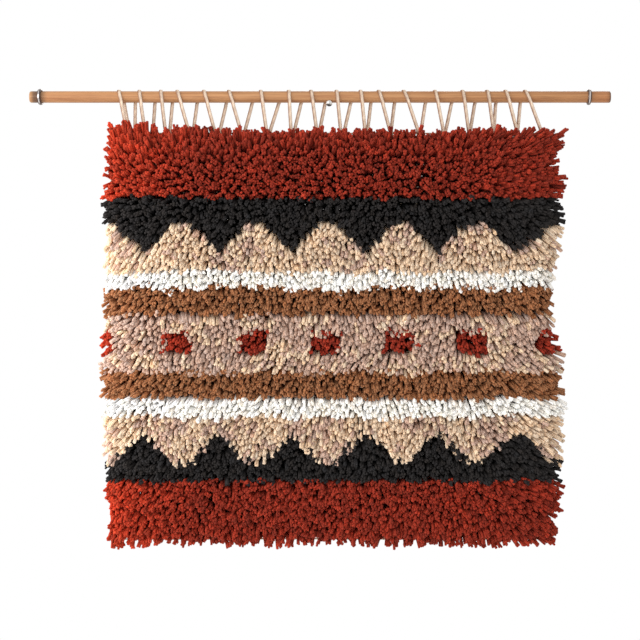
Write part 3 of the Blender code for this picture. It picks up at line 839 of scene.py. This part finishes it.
# ---- dowel, rings and pin ---------------------------------------------------------------
def revolved(name, profile, sides, axis, origin, wobble=0.0):
    """A closed solid of revolution. profile rows are (distance along the axis, radius) and start and end on the axis."""
    profile = np.asarray(profile, float)
    inner = profile[1:-1]
    angle = 2 * math.pi * np.arange(sides) / sides
    first = np.cross(axis, (0.0, 0.0, 1.0))
    first /= np.linalg.norm(first)
    second = np.cross(axis, first)
    reach = inner[:, 1][:, None] * (1 + wobble * np.sin(inner[:, 0][:, None] * 0.045 + 1.3) * np.cos(angle[None, :] * 2))
    rim = (
        np.asarray(origin)[None, None]
        + inner[:, 0][:, None, None] * np.asarray(axis)[None, None]
        + (reach * np.cos(angle))[..., None] * first
        + (reach * np.sin(angle))[..., None] * second
    )
    ends = np.asarray(origin)[None] + profile[[0, -1], 0][:, None] * np.asarray(axis)[None]
    points = np.concatenate([rim.reshape(-1, 3), ends])
    k = np.arange(sides)
    r = np.arange(len(inner) - 1)[:, None]
    quad = np.stack([r * sides + k, r * sides + (k + 1) % sides, (r + 1) * sides + (k + 1) % sides, (r + 1) * sides + k], axis=-1).reshape(-1, 4)
    last = (len(inner) - 1) * sides
    fans = np.concatenate(
        [
            np.stack([(k + 1) % sides, k, np.full(sides, len(inner) * sides)], axis=-1),
            np.stack([last + k, last + (k + 1) % sides, np.full(sides, len(inner) * sides + 1)], axis=-1),
        ]
    )
    return mesh_object(name, place(points), [quad, fans])


def build_dowel():
    long = DOWEL_RIGHT - DOWEL_LEFT
    profile = [(0.0, 0.0), (0.0, 2.5), (0.0, 4.6)] + [
        (2.6 * (1 - math.cos(a)), 4.9 + 2.6 * math.sin(a)) for a in np.radians(np.linspace(6, 90, 7))
    ]
    profile += [(x, 7.5) for x in np.linspace(14, long - 8, 30)]
    profile += [(long - 1.5, 7.48), (long - 1.0, 7.25), (long - 0.3, 6.55), (long, 6.1), (long, 5.6), (long, 3.0), (long, 0.0)]
    obj = revolved("dowel_rod", profile, 48, (1.0, 0.0, 0.0), (DOWEL_LEFT, 0.0, 0.0), wobble=0.004)
    obj.data.set_sharp_from_angle(angle=math.radians(40))
    obj.data.materials.append(wood_look())
    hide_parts("dowel")
    return obj


RINGS = (
    # node, x, lean of the top along the dowel, turn about the vertical, in degrees
    ("ring_left", -376.4, -2.0, -8.0),
    ("ring_right", 338.5, 2.4, 1.5),
)


def build_ring(node, x, lean, turn):
    """A ring of oval section, closed at a joint that shows as a fine groove behind the dowel."""
    major, thick, wide = 9.2, 1.2, 2.2
    rounds, sides = 72, 24
    u = 2 * math.pi * np.arange(rounds) / rounds
    v = 2 * math.pi * np.arange(sides) / sides
    thin = 1 - 0.14 * np.exp(-(((u - math.pi * 0.5) / 0.06) ** 2))  # the joint, at the back
    reach = thick * thin[:, None]
    flat = np.stack(
        [
            wide * thin[:, None] * np.sin(v)[None, :],
            (major + reach * np.cos(v)[None, :]) * np.sin(u)[:, None],
            (major + reach * np.cos(v)[None, :]) * np.cos(u)[:, None],
        ],
        axis=-1,
    )
    s, t = math.radians(lean), math.radians(turn)
    leant = flat.copy()
    leant[..., 0] = flat[..., 0] * math.cos(s) + flat[..., 2] * math.sin(s)
    leant[..., 2] = flat[..., 2] * math.cos(s) - flat[..., 0] * math.sin(s)
    spun = leant.copy()
    spun[..., 0] = leant[..., 0] * math.cos(t) - leant[..., 1] * math.sin(t) + x
    spun[..., 1] = leant[..., 0] * math.sin(t) + leant[..., 1] * math.cos(t)
    r = np.arange(rounds)[:, None]
    k = np.arange(sides)
    quad = np.stack(
        [r * sides + k, r * sides + (k + 1) % sides, ((r + 1) % rounds) * sides + (k + 1) % sides, ((r + 1) % rounds) * sides + k], axis=-1
    ).reshape(-1, 4)
    obj = mesh_object(node + "_steel", place(spun.reshape(-1, 3)), [quad])
    # painted highlight: a pale band along the crest of the section stands in for the reflection of the light
    crest = np.clip(1.3 - np.abs((v + math.pi) % (2 * math.pi) - math.pi) / 0.31, 0, 1)
    highlight_share = np.clip(1.7 * np.abs(np.sin(u)) - 0.45, 0, 1)  # the painted highlight is strongest before and behind the dowel, less over and under it
    highlight_band = np.repeat((highlight_share[:, None] * crest[None, :]).reshape(-1, 1), 3, axis=1)
    point_colours(obj, "painted_highlight", np.concatenate([highlight_band, np.ones((len(highlight_band), 1))], axis=1))
    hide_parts(node)
    return obj


def build_pin():
    profile = [(-8.7, 0.0)]
    profile += [(-6.8 - 1.9 * math.cos(a), 4.2 * math.sin(a)) for a in np.radians(np.linspace(6, 90, 12))]
    profile += [(-6.45, 4.15), (-6.3, 3.9), (-6.3, 2.4), (-6.25, 1.15), (-5.9, 1.0)]
    profile += [(y, 1.0) for y in np.linspace(0, 20.5, 5)]
    profile += [(22.6, 0.62), (24.2, 0.14), (24.5, 0.0)]
    obj = revolved("pin", profile, 40, (0.0, 1.0, 0.0), (0.0, 0.0, -PIN_DROP))
    obj.data.set_sharp_from_angle(angle=math.radians(45))
    obj.data.materials.append(pin_look())
    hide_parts("wall_pin")
    return obj


pile = build_pile()
backs = build_knot_backs()
canvas = build_canvas()
lacing, lacing_long = build_lacing()
dowel = build_dowel()
# the third colour is the painted highlight's
steel = ring_look((0.070, 0.052, 0.048), (0.165, 0.130, 0.120), (0.92, 0.88, 0.88), 0.24)
for row in RINGS:
    build_ring(*row).data.materials.append(steel)
build_pin()
total = 0
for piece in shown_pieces():
    if piece.type == "MESH":
        piece.data.calc_loop_triangles()
        total += len(piece.data.loop_triangles)
        print(piece.name, len(piece.data.loop_triangles), "triangles")
print("triangles in all", total, "lacing length mm", round(float(lacing_long)))

# ---- floor, light and background ----------------------------------------------------------
bpy.ops.mesh.primitive_circle_add(vertices=96, radius=1.3, fill_type="NGON", location=(0.0, -0.1, -1.45))
floor = bpy.context.object
floor.name = "floor"
ground = Look("floor_pale", 0.8)
ground.colour(ground.ramp(ground.noise(6.0, 2.0, 0.5), (0.3, (0.80, 0.79, 0.77)), (0.7, (0.83, 0.82, 0.80))))
floor.data.materials.append(ground.material)


def area_light(name, place_at, aim, size, power, colour):
    data = bpy.data.lights.new(name, "AREA")
    data.shape = "DISK"
    data.size = size
    data.energy = power
    data.color = colour
    made = bpy.data.objects.new(name, data)
    bpy.context.scene.collection.objects.link(made)
    made.location = place_at
    made.rotation_mode = "QUATERNION"
    made.rotation_quaternion = (Vector(aim) - Vector(place_at)).to_track_quat("-Z", "Y")
    return made


area_light("key", (-1.35, -2.3, 0.45), (0.0, 0.0, -0.28), 2.2, 26.0, (1.0, 0.985, 0.96))
area_light("side", (-1.9, -0.75, 0.0), (-0.1, 0.0, -0.28), 1.2, 34.0, (1.0, 0.97, 0.94))
area_light("back", (0.6, 2.4, 0.9), (0.0, 0.0, -0.28), 1.6, 26.0, (1.0, 0.99, 0.97))

world = bpy.data.worlds.new("studio")
bpy.context.scene.world = world
world.use_nodes = True
nodes, links = world.node_tree.nodes, world.node_tree.links
nodes.clear()
output = nodes.new("ShaderNodeOutputWorld")
mixed = nodes.new("ShaderNodeMixShader")
seen = nodes.new("ShaderNodeBackground")
seen.inputs["Color"].default_value = (1.0, 1.0, 1.0, 1.0)
seen.inputs["Strength"].default_value = 1.0
lit = nodes.new("ShaderNodeBackground")
lit.inputs["Color"].default_value = (1.0, 0.975, 0.95, 1.0)
lit.inputs["Strength"].default_value = 0.88
path = nodes.new("ShaderNodeLightPath")
links.new(path.outputs["Is Camera Ray"], mixed.inputs["Fac"])
links.new(lit.outputs["Background"], mixed.inputs[1])
links.new(seen.outputs["Background"], mixed.inputs[2])
links.new(mixed.outputs["Shader"], output.inputs["Surface"])
bpy.context.scene.view_settings.view_transform = "Standard"
